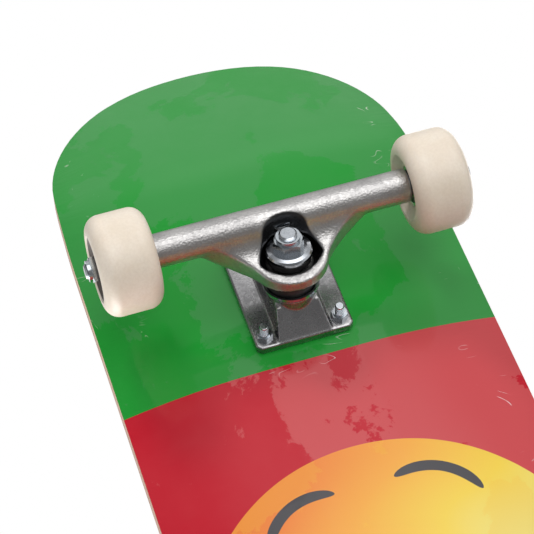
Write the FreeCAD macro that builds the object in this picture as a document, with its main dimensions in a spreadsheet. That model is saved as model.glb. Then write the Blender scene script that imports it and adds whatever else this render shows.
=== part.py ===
"""Skateboard: a seven-ply kicked deck on two sprung kingpin trucks and four ball-bearing wheels.

The board stands on its wheels.  +X points to the nose, +Y to the left, +Z up, and the origin is on the
ground under the middle of the deck.  All sizes are in millimetres.

Each truck is drawn on its own bench frame: the mounting plate's face at z = 0, the axle above it at
x = 0, the pivot on the +x side and the kingpin on the -x side.  Parts on the kingpin are drawn about the
kingpin, and parts on the axle about the axle.
"""
import FreeCAD, Part
import math
import os
import Sketcher

os.makedirs("parts", exist_ok=True)
doc = FreeCAD.newDocument("skateboard")
Vector = FreeCAD.Vector
Placement = FreeCAD.Placement
Rotation = FreeCAD.Rotation
X_AXIS, Y_AXIS, Z_AXIS = Vector(1, 0, 0), Vector(0, 1, 0), Vector(0, 0, 1)
BOLT_CORNERS = ((-1, -1), (-1, 1), (1, -1), (1, 1))
FLATS_ALONG_BOARD = Rotation(Z_AXIS, 30)
STEER_STEPS = (-1, -0.5, 0, 0.5, 1)

# ---------------------------------------------------------------- driving dimensions
DIMENSIONS = {
    # deck
    "deck_length": 800, "deck_width": 204, "ply_thickness": 1.5, "ply_count": 7, "grip_thickness": 0.8,
    "grip_inset": 1.0, "flat_half_width": 27, "concave_radius": 300, "kick_start": 283,
    "kick_radius": 101, "kick_angle": 20, "taper_length": 140, "side_radius": 646,
    "corner_radius": 83, "end_radius": 123, "blank_margin": 4,
    # where the trucks sit
    "wheel_base": 434, "axle_drop": 50,
    # deck screws and nuts
    "bolt_spacing_x": 54, "bolt_spacing_y": 41.3, "bolt_inner_x": 36, "screw_diameter": 4.8,
    "screw_clearance": 0.3, "screw_head_diameter": 9.5, "screw_head_depth": 2.8, "screw_stand_out": 4.9,
    "recess_width": 1.3, "recess_span": 5.2, "recess_depth": 1.6, "deck_nut_flats": 8,
    "deck_nut_height": 4,
    # baseplate
    "plate_thickness": 5, "plate_width": 53, "plate_inner_margin": 7.7, "plate_outer_margin": 8,
    "plate_corner": 2.5, "boss_foot_half": 14.5, "boss_top_half": 10.5, "boss_top_run": 14,
    "seat_radius": 13.5, "pivot_boss_radius": 11, "pivot_boss_depth": 9, "pivot_boss_mouth": 5,
    "boss_foot_level": 3, "boss_foot_inset": 1, "boss_foot_rise": 0.6, "boss_foot_run": 0.5,
    "boss_top_drop": 2, "boss_back_rise": 1, "boss_back_drop": 3,
    # kingpin and what is on it, measured along it from its middle
    "kingpin_lean": 8, "kingpin_x": -17, "kingpin_mid": 27, "kingpin_diameter": 9.5,
    "kingpin_head_radius": 7.6, "kingpin_head_height": 5.6, "kingpin_head_start": -25.6,
    "kingpin_head_chamfer": 0.6, "kingpin_end": 29.3, "kingpin_end_chamfer": 0.9,
    "kingpin_nut_flats": 14.3, "kingpin_nut_height": 8.2, "kingpin_collar_radius": 6.3,
    "fit_clearance": 0.05, "cup_thickness": 1.6, "cup_lip": 1.6, "cup_lip_thickness": 1.2,
    "cup_inner_bend": 1.7, "cup_outer_bend": 2.6, "cup_outer_slope": 0.7, "cup_slope_rise": 0.5,
    "cup_edge_rise": 1.5, "lower_cup_radius": 15, "upper_cup_radius": 12.2,
    "seat_level": -8.2, "lower_bushing_height": 12.6, "upper_bushing_height": 7.2,
    "lower_bushing_radius": 12.8, "upper_bushing_radius": 10.6, "bushing_bulge": 0.5,
    "bushing_corner": 0.8, "bushing_corner_rise": 1, "lower_bushing_taper": 0.5,
    "upper_bushing_foot": 0.8, "upper_bushing_taper": 0.6,
    # lock nuts, as shares of their height or width across flats
    "nut_hexagon_share": 0.72, "nut_cone_height": 0.8, "nut_cone_foot": 0.95, "nut_cone_top": 0.46,
    # hanger
    "hanger_width": 140, "bar_radius": 9, "bar_offset_x": 0.8, "bar_offset_z": 0.8, "ring_thickness": 4.4,
    "ring_hole_radius": 8, "ring_outer_radius": 20.4, "ring_shift": 0.9, "yoke_fillet": 30,
    "yoke_edge_x": -7.5, "yoke_flat_half": 14, "yoke_lap": 0.4, "yoke_front_margin": 1, "rim_drop": 2.2,
    "bowl_radius": 19, "bowl_floor_radius": 15.5, "bowl_shift": 2.6, "bowl_wall_x": -2.6,
    "bowl_wall_radius": 20, "bowl_wall_slope": 0.2, "bowl_depth": 7, "cove_radius": 13,
    "washer_room": 0.5, "washer_headroom": 0.4, "steer_limit": 14, "lower_cup_room": 2, "web_half_width": 8,
    "web_root_run": 17, "web_root_drop": 2, "web_tip_back": 2, "web_tip_drop": 1, "web_tip_front": 2,
    "web_tip_rise": 3, "web_bar_front": 7, "web_bar_back": 4, "web_bar_drop": 2, "web_tip_gap": 3,
    # pivot
    "pivot_x": 17, "pivot_z": 17, "pivot_nose_radius": 5.6, "pivot_nose_length": 12,
    "arm_root_radius": 9.7, "arm_tip_radius": 6.8, "arm_lap": 6, "arm_gap": 1.2, "pivot_clearance": 0.3,
    "cup_wall": 1.9, "cup_floor": 2.0, "cup_inside_depth": 7, "cup_mouth_inset": 1,
    "tip_shoulder": 4.4, "tip_bend": 1.9, "tip_bend_share": 0.87, "tip_end": 0.2, "tip_end_share": 0.55,
    # axle and bearings
    "axle_diameter": 7.94, "axle_end_margin": 1.3, "axle_nut_flats": 12.7, "axle_nut_height": 6.2,
    "speed_washer_radius": 5.6, "speed_washer_thickness": 0.9, "bearing_bore": 8,
    "bearing_outer_diameter": 22, "bearing_width": 7, "bearing_gap": 10, "ball_diameter": 3.969,
    "ball_pitch_diameter": 15, "ball_count": 7, "ball_clearance": 0.03, "inner_shoulder": 6.05,
    "outer_shoulder": 8.95, "shield_thickness": 0.35, "shield_gap": 0.2, "shield_inset": 0.25,
    "race_corner": 0.4, "groove_half": 0.635, "groove_mouth": 1.667,
    "cage_thickness": 1.1, "cage_wrap": 0.9, "cage_back": 0.5, "cage_pocket_clearance": 0.15,
    "spacer_wall": 1.2,
    # wheel
    "wheel_diameter": 53, "wheel_width": 30.7, "wheel_shoulder": 8, "wheel_lip_radius": 17.6,
    "wheel_seat_lip": 12.6, "core_bore_radius": 9.6,
}
sheet = doc.addObject("Spreadsheet::Sheet", "Size")
for row, (alias, value) in enumerate(DIMENSIONS.items(), start=1):
    sheet.set(f"A{row}", alias)
    sheet.set(f"B{row}", str(value))
    sheet.setAlias(f"B{row}", alias)
doc.recompute()


def size(expression):
    """The number that an expression over the sheet's names stands for."""
    return float(sheet.evalExpression(bound(expression)))


def bound(expression):
    """The expression with each of the sheet's names written as Size.name."""
    words, word = [], ""
    for letter in str(expression) + " ":
        if letter.isalnum() or letter in "_.":
            word += letter
            continue
        words.append(f"Size.{word}" if word in DIMENSIONS else word)
        words.append(letter)
        word = ""
    return "".join(words).strip()


# ---------------------------------------------------------------- drawing helpers
sub_parts = []


def sub_part(thing, name, placement=None):
    """Give a finished piece its name and its place, and list it for writing."""
    thing.Label = name
    if placement is not None:
        thing.Placement = placement
    sub_parts.append(thing)
    return thing


def plane(body, role):
    return [feature for feature in body.Origin.OriginFeatures if feature.Role == role][0]


def new_sketch(body, role, name):
    sketch = body.newObject("Sketcher::SketchObject", name)
    sketch.AttachmentSupport = [(plane(body, role), "")]
    sketch.MapMode = "FlatFace"
    return sketch


def bind(sketch, constraint, expression):
    index = sketch.addConstraint(constraint)
    sketch.setExpression(f"Constraints[{index}]", bound(expression))


def pin_point(sketch, element, end, across, up):
    """Hold one end of a sketch element at two bound distances from the sketch's origin."""
    bind(sketch, Sketcher.Constraint("DistanceX", -1, 1, element, end, size(across)), across)
    bind(sketch, Sketcher.Constraint("DistanceY", -1, 1, element, end, size(up)), up)


def polygon(sketch, corners):
    """A closed outline of straight edges, each corner held by its own two expressions."""
    points = [Vector(size(across), size(up), 0) for across, up in corners]
    count = len(points)
    first = sketch.GeometryCount
    for index in range(count):
        sketch.addGeometry(Part.LineSegment(points[index], points[(index + 1) % count]), False)
    for index in range(count):
        follower = first + (index + 1) % count
        sketch.addConstraint(Sketcher.Constraint("Coincident", first + index, 2, follower, 1))
    for index, (across, up) in enumerate(corners):
        pin_point(sketch, first + index, 1, across, up)


def turned(name, corners):
    """A body of revolution about its own Z axis; corners are (radius, level) pairs."""
    body = doc.addObject("PartDesign::Body", name)
    sketch = new_sketch(body, "XZ_Plane", name + "_profile")
    polygon(sketch, corners)
    turn = body.newObject("PartDesign::Revolution", name + "_turn")
    turn.Profile = sketch
    turn.ReferenceAxis = (sketch, ["V_Axis"])
    turn.Angle = 360
    body.Tip = turn
    return body


def padded(name, role, draw, length, midplane=False):
    """A body that pads what `draw` puts in a sketch on one of its own origin planes."""
    body = doc.addObject("PartDesign::Body", name)
    sketch = new_sketch(body, role, name + "_outline")
    draw(sketch)
    pad = body.newObject("PartDesign::Pad", name + "_pad")
    pad.Profile = sketch
    pad.Midplane = midplane
    pad.setExpression("Length", bound(length))
    body.Tip = pad
    return body


def cylinder(name, radius, height):
    thing = doc.addObject("Part::Cylinder", name)
    thing.setExpression("Radius", bound(radius))
    thing.setExpression("Height", bound(height))
    return thing


def cone(name, radius_low, radius_high, height):
    thing = doc.addObject("Part::Cone", name)
    thing.setExpression("Radius1", bound(radius_low))
    thing.setExpression("Radius2", bound(radius_high))
    thing.setExpression("Height", bound(height))
    return thing


def box(name, length, width, height):
    thing = doc.addObject("Part::Box", name)
    thing.setExpression("Length", bound(length))
    thing.setExpression("Width", bound(width))
    thing.setExpression("Height", bound(height))
    return thing


def fused(name, pieces):
    thing = doc.addObject("Part::MultiFuse", name)
    thing.Shapes = pieces
    thing.Refine = True
    return thing


def cut(name, base, tool):
    thing = doc.addObject("Part::Cut", name)
    thing.Base = base
    thing.Tool = tool
    return thing


def common(name, base, tool):
    thing = doc.addObject("Part::Common", name)
    thing.Base = base
    thing.Tool = tool
    return thing


def group(name, pieces):
    """Identical loose pieces that share one node."""
    thing = doc.addObject("Part::Compound", name)
    thing.Links = pieces
    return thing


def hex_nut(name, flats, height, bore, collar_radius):
    """A lock nut standing on z = 0: a chamfered hexagon with the insert's round collar on top."""
    blank = doc.addObject("Part::Prism", name + "_hexagon")
    blank.Polygon = 6
    blank.setExpression("Circumradius", bound(f"{flats} / sqrt(3)"))
    blank.setExpression("Height", bound(f"{height} * nut_hexagon_share"))
    chamfer = cone(name + "_chamfer", f"{flats} * nut_cone_foot", f"{flats} * nut_cone_top",
                   f"{height} * nut_cone_height")
    crown = cylinder(name + "_collar", collar_radius, height)
    hexagon = common(name + "_crown", blank, chamfer)
    return cut(name, fused(name + "_blank", [hexagon, crown]), cylinder(name + "_bore", bore, height))


# ---------------------------------------------------------------- places
GROUND_TO_PLATE = size("wheel_diameter / 2 + axle_drop")


def truck_place(end):
    """Bench frame to board frame: plate face up under the deck, pivot towards the end of the board."""
    turn = Rotation(X_AXIS, 180) if end == "nose" else Rotation(Y_AXIS, 180)
    side = 1 if end == "nose" else -1
    return Placement(Vector(side * size("wheel_base / 2"), 0, GROUND_TO_PLATE), turn)


LEAN = Rotation(Y_AXIS, size("kingpin_lean"))
KINGPIN = Placement(Vector(size("kingpin_x"), 0, size("kingpin_mid")), LEAN)
LEVEL = {}
LEVEL["lower_cup"] = "seat_level"
LEVEL["lower_bushing"] = "seat_level + cup_thickness"
LEVEL["ring"] = LEVEL["lower_bushing"] + " + lower_bushing_height"
LEVEL["upper_bushing"] = LEVEL["ring"] + " + ring_thickness"
LEVEL["upper_cup"] = LEVEL["upper_bushing"] + " + upper_bushing_height"
LEVEL["nut"] = LEVEL["upper_cup"] + " + cup_thickness"
RING_CENTRE = KINGPIN.multVec(Vector(0, 0, size(LEVEL["ring"] + " + ring_thickness / 2")))
PIVOT = Vector(size("pivot_x"), 0, size("pivot_z"))
STEER_AXIS = (PIVOT - RING_CENTRE).normalize()
PIVOT_PLACE = Placement(PIVOT, Rotation(Z_AXIS, STEER_AXIS))
RING_TO_HOLLOW = size("ring_outer_radius + yoke_fillet")
HOLLOW_RUN = size("yoke_edge_x - yoke_fillet - ring_shift") - RING_CENTRE.x
YOKE_REACH = math.sqrt(RING_TO_HOLLOW ** 2 - HOLLOW_RUN ** 2)
BEARING_MID = "hanger_width / 2 + speed_washer_thickness + bearing_width + bearing_gap / 2"
AXLE_HALF = BEARING_MID + " + bearing_gap / 2 + bearing_width + speed_washer_thickness + axle_nut_height"
AXLE_HALF = AXLE_HALF + " + axle_end_margin"


def axle_place(side, distance):
    """A frame on the axle whose Z axis points outwards along it."""
    turn = Rotation(X_AXIS, -90 * side)
    return Placement(Vector(0, side * size(distance), size("axle_drop")), turn)


# ---------------------------------------------------------------- deck
KICK_RUN = "deck_length / 4"
TAPER_START = "deck_length / 2 - taper_length"
BLANK_EDGE = "deck_width / 2 + blank_margin"


def concave_band(sketch, low, high):
    """The deck's cross-section between two offsets from its underside: a flat with two upswept arcs."""
    flat, radius = size("flat_half_width"), size("concave_radius")
    edge = size(BLANK_EDGE)
    starts = {}
    for level in (low, high):
        bend = radius - size(level)
        drop = math.sqrt(bend ** 2 - (edge - flat) ** 2)
        left_end, right_end = Vector(-edge, radius - drop, 0), Vector(edge, radius - drop, 0)
        left_flat, right_flat = Vector(-flat, size(level), 0), Vector(flat, size(level), 0)
        angle = math.asin((edge - flat) / bend)
        down = -math.pi / 2
        right = Part.ArcOfCircle(Part.Circle(Vector(flat, radius, 0), Z_AXIS, bend), down, down + angle)
        left = Part.ArcOfCircle(Part.Circle(Vector(-flat, radius, 0), Z_AXIS, bend), down - angle, down)
        starts[level] = sketch.GeometryCount
        sketch.addGeometry([left, Part.LineSegment(left_flat, right_flat), right], False)
        first = starts[level]
        sketch.addConstraint(Sketcher.Constraint("Tangent", first, 2, first + 1, 1))
        sketch.addConstraint(Sketcher.Constraint("Tangent", first + 1, 2, first + 2, 1))
        pin_point(sketch, first + 1, 1, "0 - flat_half_width", level)
        pin_point(sketch, first + 1, 2, "flat_half_width", level)
        edges = (first, 1, f"0 - ({BLANK_EDGE})"), (first + 2, 2, BLANK_EDGE)
        for arc, end, across in edges:
            bind(sketch, Sketcher.Constraint("Radius", arc, bend), f"concave_radius - ({level})")
            bind(sketch, Sketcher.Constraint("DistanceX", -1, 1, arc, end, size(across)), across)
        starts[level, "ends"] = (left_end, right_end)
    under, over = starts[low], starts[high]
    for side, (arc, end) in enumerate(((0, 1), (2, 2))):
        wall = Part.LineSegment(starts[low, "ends"][side], starts[high, "ends"][side])
        index = sketch.addGeometry(wall, False)
        sketch.addConstraint(Sketcher.Constraint("Coincident", index, 1, under + arc, end))
        sketch.addConstraint(Sketcher.Constraint("Coincident", index, 2, over + arc, end))


def kick_path(sketch):
    """Half the deck's side profile: flat, then the bend of the kick, then its straight rise."""
    start, radius = size("kick_start"), size("kick_radius")
    angle, rise = math.radians(size("kick_angle")), size(KICK_RUN)
    corner = Vector(start, 0, 0)
    centre = Vector(start, radius, 0)
    bend_end = centre + Vector(radius * math.sin(angle), -radius * math.cos(angle), 0)
    tip = bend_end + Vector(rise * math.cos(angle), rise * math.sin(angle), 0)
    bend = Part.ArcOfCircle(Part.Circle(centre, Z_AXIS, radius), -math.pi / 2, -math.pi / 2 + angle)
    sketch.addGeometry([Part.LineSegment(Vector(0, 0, 0), corner), bend, Part.LineSegment(bend_end, tip)],
                       False)
    pin_point(sketch, 0, 1, "0", "0")
    pin_point(sketch, 0, 2, "kick_start", "0")
    sketch.addConstraint(Sketcher.Constraint("Tangent", 0, 2, 1, 1))
    sketch.addConstraint(Sketcher.Constraint("Tangent", 1, 2, 2, 1))
    bind(sketch, Sketcher.Constraint("Radius", 1, radius), "kick_radius")
    bind(sketch, Sketcher.Constraint("Distance", 2, rise), KICK_RUN)
    index = sketch.addConstraint(Sketcher.Constraint("Angle", 2, angle))
    sketch.setExpression(f"Constraints[{index}]", bound("kick_angle * 1 deg"))


def pressed_layer(name, low, high):
    """A layer of the pressed deck blank, from one end to the other."""
    body = doc.addObject("PartDesign::Body", name + "_blank")
    section = new_sketch(body, "YZ_Plane", name + "_section")
    concave_band(section, low, high)
    path = new_sketch(body, "XZ_Plane", name + "_path")
    kick_path(path)
    doc.recompute()
    pipe = body.newObject("PartDesign::AdditivePipe", name + "_half")
    pipe.Profile = section
    pipe.Spine = (path, ["Edge1", "Edge2", "Edge3"])
    body.Tip = pipe
    doc.recompute()
    other_half = body.newObject("PartDesign::Mirrored", name + "_whole")
    other_half.Originals = [pipe]
    other_half.MirrorPlane = (plane(body, "YZ_Plane"), [""])
    body.Tip = other_half
    return body


def deck_outline(sketch, inset):
    """Straight sides that draw in towards each end, then corner arcs into a wide end arc."""
    half_width = size(f"deck_width / 2 - ({inset})")
    half_length = size(f"deck_length / 2 - ({inset})")
    side, tight, wide = [size(f"{part}_radius - ({inset})") for part in ("side", "corner", "end")]
    side_centre = Vector(size(TAPER_START), half_width - side, 0)
    end_centre = Vector(half_length - wide, 0, 0)
    between = end_centre - side_centre
    span = between.Length
    along = ((side - tight) ** 2 - (wide - tight) ** 2 + span ** 2) / (2 * span)
    across = math.sqrt((side - tight) ** 2 - along ** 2)
    tight_centre = side_centre + between / span * along + Vector(between.y, -between.x, 0) / span * across
    lean = math.atan2(tight_centre.y - side_centre.y, tight_centre.x - side_centre.x)
    turn = math.atan2(tight_centre.y, tight_centre.x - end_centre.x)

    def arc(centre, radius, start, stop):
        """An arc of the end whose middle direction is the nose, the tail, or a corner of either."""
        middle = (start + stop) / 2
        low = middle < 0 or middle > math.pi
        back = math.pi / 2 < middle < 3 * math.pi / 2
        placed = Vector(-centre.x if back else centre.x, -centre.y if low else centre.y, 0)
        return Part.ArcOfCircle(Part.Circle(placed, Z_AXIS, radius), start, stop)

    pi = math.pi
    straight = side_centre.x
    sketch.addGeometry([
        Part.LineSegment(Vector(-straight, -half_width, 0), Vector(straight, -half_width, 0)),
        arc(side_centre, side, -pi / 2, -lean),
        arc(tight_centre, tight, -lean, -turn),
        arc(end_centre, wide, -turn, turn),
        arc(tight_centre, tight, turn, lean),
        arc(side_centre, side, lean, pi / 2),
        Part.LineSegment(Vector(straight, half_width, 0), Vector(-straight, half_width, 0)),
        arc(side_centre, side, pi / 2, pi - lean),
        arc(tight_centre, tight, pi - lean, pi - turn),
        arc(end_centre, wide, pi - turn, pi + turn),
        arc(tight_centre, tight, pi + turn, pi + lean),
        arc(side_centre, side, pi + lean, 3 * pi / 2),
    ], False)
    for index in range(12):
        sketch.addConstraint(Sketcher.Constraint("Tangent", index, 2, (index + 1) % 12, 1))
    for index, sign in ((1, "1"), (5, "1"), (7, "-1"), (11, "-1")):
        bind(sketch, Sketcher.Constraint("Radius", index, side), f"side_radius - ({inset})")
        across_to = f"{sign} * ({TAPER_START})"
        bind(sketch, Sketcher.Constraint("DistanceX", -1, 1, index, 3, size(across_to)), across_to)
    for index in (2, 4, 8, 10):
        bind(sketch, Sketcher.Constraint("Radius", index, tight), f"corner_radius - ({inset})")
    for index, sign in ((3, "1"), (9, "-1")):
        bind(sketch, Sketcher.Constraint("Radius", index, wide), f"end_radius - ({inset})")
        pin_point(sketch, index, 3, f"{sign} * (deck_length / 2 - end_radius)", "0")
    for index, sign in ((0, "-1"), (6, "1")):
        edge = f"{sign} * (deck_width / 2 - ({inset}))"
        bind(sketch, Sketcher.Constraint("DistanceY", -1, 1, index, 1, size(edge)), edge)


DECK_DEPTH = "ply_thickness * ply_count"
DECK_PLACE = Placement(Vector(0, 0, GROUND_TO_PLATE), Rotation())
STOCK_HEIGHT = KICK_RUN


def bolt_spot(end, corner):
    """Where a deck screw goes through, in the board's frame; corner picks one of the four."""
    side = 1 if end == "nose" else -1
    along = corner[0] * size("bolt_spacing_x / 2")
    middle = size("wheel_base / 2 - bolt_inner_x + bolt_spacing_x / 2")
    return Vector(side * (middle + along), corner[1] * size("bolt_spacing_y / 2"), 0)


def screw_clearance():
    """What the eight deck screws need cleared through the deck: shanks and countersunk heads."""
    tools = []
    for end in ("nose", "tail"):
        for number, corner in enumerate(BOLT_CORNERS):
            spot = bolt_spot(end, corner)
            name = f"{end}_hole_{number}"
            shank = cylinder(name, "screw_diameter / 2 + screw_clearance", f"({DECK_DEPTH}) * 2")
            shank.Placement = Placement(spot - Vector(0, 0, size(f"({DECK_DEPTH}) / 2")), Rotation())
            head = cone(name + "_sink", "screw_diameter / 2 + screw_clearance",
                        "screw_head_diameter / 2 + screw_clearance", "screw_head_depth")
            head.Placement = Placement(spot + Vector(0, 0, size(f"{DECK_DEPTH} - screw_head_depth")),
                                       Rotation())
            tools += [shank, head]
    return fused("screw_clearance", tools)


def build_deck():
    clearance = screw_clearance()
    outline = padded("deck_outline", "XY_Plane", lambda sketch: deck_outline(sketch, "0"),
                     STOCK_HEIGHT, midplane=True)
    for number in range(1, int(size("ply_count")) + 1):
        low, high = f"ply_thickness * {number - 1}", f"ply_thickness * {number}"
        name = f"deck_ply_{number}"
        blank = pressed_layer(name, low, high)
        shaped = common(name + "_shaped", blank, outline)
        sub_part(cut(name, shaped, clearance), name, DECK_PLACE)
    blank = pressed_layer("grip_tape", DECK_DEPTH, f"{DECK_DEPTH} + grip_thickness")
    inner = padded("grip_outline", "XY_Plane", lambda sketch: deck_outline(sketch, "grip_inset"),
                   STOCK_HEIGHT, midplane=True)
    holes = []
    for end in ("nose", "tail"):
        for number, corner in enumerate(BOLT_CORNERS):
            hole = cylinder(f"{end}_grip_hole_{number}", "screw_head_diameter / 2 + screw_clearance",
                            STOCK_HEIGHT)
            hole.Placement = Placement(bolt_spot(end, corner), Rotation())
            holes.append(hole)
    shaped = common("grip_tape_shaped", blank, inner)
    sub_part(cut("grip_tape", shaped, fused("grip_holes", holes)), "grip_tape", DECK_PLACE)


def build_fasteners(end):
    """The four deck screws of one truck, heads flush with the deck's top, and their lock nuts."""
    screws, nuts = [], []
    top = size(DECK_DEPTH)
    reach = "plate_thickness + deck_nut_height + screw_stand_out"
    for number, corner in enumerate(BOLT_CORNERS):
        name = f"{end}_screw_{number}"
        shank_end = f"0 - ({DECK_DEPTH}) - ({reach})"
        shank = turned(name + "_turned", [
            ("0", shank_end), ("screw_diameter / 2 - 0.5", shank_end),
            ("screw_diameter / 2", shank_end + " + 0.6"), ("screw_diameter / 2", "0 - screw_head_depth"),
            ("screw_head_diameter / 2", "0"), ("0", "0")])
        bars = []
        for turn in (0, 90):
            bar = box(f"{name}_recess_{turn}", "recess_span", "recess_width", "recess_depth")
            half = Vector(size("recess_span / 2"), size("recess_width / 2"), size("recess_depth"))
            rotation = Rotation(Z_AXIS, turn)
            bar.Placement = Placement(rotation.multVec(Vector(0, 0, 0) - half), rotation)
            bars.append(bar)
        screw = cut(name, shank, fused(name + "_recess", bars))
        screw.Placement = Placement(bolt_spot(end, corner) + Vector(0, 0, top), Rotation())
        screws.append(screw)
        nut = hex_nut(f"{end}_deck_nut_{number}", "deck_nut_flats", "deck_nut_height",
                      "screw_diameter / 2", "deck_nut_flats * 0.43")
        nut.Placement = Placement(bolt_spot(end, corner) - Vector(0, 0, size("plate_thickness")),
                                  Rotation(X_AXIS, 180))
        nuts.append(nut)
    sub_part(group(f"{end}_deck_screws", screws), f"{end}_deck_screws", DECK_PLACE)
    sub_part(group(f"{end}_deck_nuts", nuts), f"{end}_deck_nuts", DECK_PLACE)


# ---------------------------------------------------------------- baseplate
def build_baseplate(end):
    name = f"{end}_baseplate"
    low_x = "0 - bolt_inner_x - plate_inner_margin"
    high_x = "bolt_spacing_x - bolt_inner_x + plate_outer_margin"
    half = "plate_width / 2"
    corner = "plate_corner"

    def outline(sketch):
        polygon(sketch, [
            (f"{low_x} + {corner}", f"0 - {half}"), (f"{high_x} - {corner}", f"0 - {half}"),
            (high_x, f"0 - {half} + {corner}"), (high_x, f"{half} - {corner}"),
            (f"{high_x} - {corner}", half), (f"{low_x} + {corner}", half),
            (low_x, f"{half} - {corner}"), (low_x, f"0 - {half} + {corner}")])

    plate = padded(name + "_plate", "XY_Plane", outline, "plate_thickness")
    # the drafted kingpin boss, wide at its foot and sloping up from the plate's inner edge
    seat = "kingpin_mid + seat_level"

    def boss_side(sketch):
        polygon(sketch, [
            (f"{low_x} + boss_foot_inset", "boss_foot_level"), ("pivot_x", "boss_foot_level"),
            ("pivot_x", "pivot_z - boss_back_drop"), ("kingpin_x + seat_radius", f"{seat} + boss_back_rise"),
            (f"{low_x} + boss_top_run", f"{seat} - boss_top_drop"),
            (f"{low_x} + boss_foot_inset + boss_foot_run", "plate_thickness + boss_foot_rise")])

    def boss_front(sketch):
        polygon(sketch, [
            ("0 - boss_foot_half", "boss_foot_level"), ("boss_foot_half", "boss_foot_level"),
            ("boss_foot_half", "plate_thickness"), ("boss_top_half", f"{seat} + boss_top_drop"),
            ("0 - boss_top_half", f"{seat} + boss_top_drop"), ("0 - boss_foot_half", "plate_thickness")])

    side_prism = padded(name + "_boss_side", "XZ_Plane", boss_side, "plate_width", midplane=True)
    front_prism = padded(name + "_boss_front", "YZ_Plane", boss_front, "plate_width * 3", midplane=True)
    ridge = common(name + "_ridge", side_prism, front_prism)
    column = cylinder(name + "_column", "seat_radius", "kingpin_mid + seat_level - plate_thickness / 2")
    column.Placement = KINGPIN.multiply(Placement(
        Vector(0, 0, size("plate_thickness / 2 - kingpin_mid")), Rotation()))
    housing = cylinder(name + "_pivot_housing", "pivot_boss_radius", "pivot_boss_depth + pivot_boss_mouth")
    housing.Placement = PIVOT_PLACE.multiply(Placement(
        Vector(0, 0, -size("pivot_boss_mouth")), Rotation()))
    solid = fused(name + "_solid", [plate, ridge, column, housing])

    above_seat = cylinder(name + "_seat_cut", "seat_radius * 2", "seat_radius * 2")
    above_seat.Placement = KINGPIN.multiply(Placement(Vector(0, 0, size("seat_level")), Rotation()))
    below_plate = box(name + "_floor_cut", "plate_width * 4", "plate_width * 2", "plate_width")
    below_plate.Placement = Placement(
        Vector(-size("plate_width * 2"), -size("plate_width"), -size("plate_width")), Rotation())
    bore = cylinder(name + "_kingpin_bore", "kingpin_diameter / 2 + fit_clearance", "kingpin_mid * 2")
    bore.Placement = KINGPIN.multiply(Placement(Vector(0, 0, -size("kingpin_mid * 1.5")), Rotation()))
    head = cylinder(name + "_head_pocket", "kingpin_head_radius + screw_clearance", "kingpin_mid")
    head.Placement = KINGPIN.multiply(Placement(
        Vector(0, 0, size("kingpin_head_start + kingpin_head_height - kingpin_mid")), Rotation()))
    socket_radius = "pivot_nose_radius + pivot_clearance + cup_wall"
    socket = cylinder(name + "_pivot_socket", socket_radius, "cup_inside_depth + cup_floor + plate_width")
    socket.Placement = PIVOT_PLACE.multiply(Placement(Vector(0, 0, -size("plate_width")), Rotation()))
    cutters = [above_seat, below_plate, bore, head, socket]
    for number, spot in enumerate(BOLT_CORNERS):
        hole = cylinder(f"{name}_bolt_hole_{number}", "screw_diameter / 2 + screw_clearance",
                        "plate_thickness * 8")
        hole.Placement = Placement(Vector(
            size("bolt_spacing_x / 2 - bolt_inner_x") + spot[0] * size("bolt_spacing_x / 2"),
            spot[1] * size("bolt_spacing_y / 2"), -size("plate_thickness")), Rotation())
        cutters.append(hole)
    sub_part(cut(name, solid, fused(name + "_cutters", cutters)), name, truck_place(end))


def build_pivot_cup(end):
    """The soft cup that the hanger's nose turns in."""
    inside = "pivot_nose_radius + pivot_clearance"
    outside = f"{inside} + cup_wall"
    deep = "cup_inside_depth"
    mouth = "cup_mouth_inset - pivot_boss_mouth"
    cup = turned(f"{end}_pivot_cup", [
        ("0", deep), (f"({inside}) * tip_end_share", f"{deep} - tip_end"),
        (f"({inside}) * tip_bend_share", f"{deep} - tip_bend"), (inside, f"{deep} - tip_shoulder"),
        (inside, mouth), (outside, mouth), (outside, f"{deep} + cup_floor"), ("0", f"{deep} + cup_floor")])
    sub_part(cup, f"{end}_pivot_cup", truck_place(end).multiply(PIVOT_PLACE))


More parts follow.
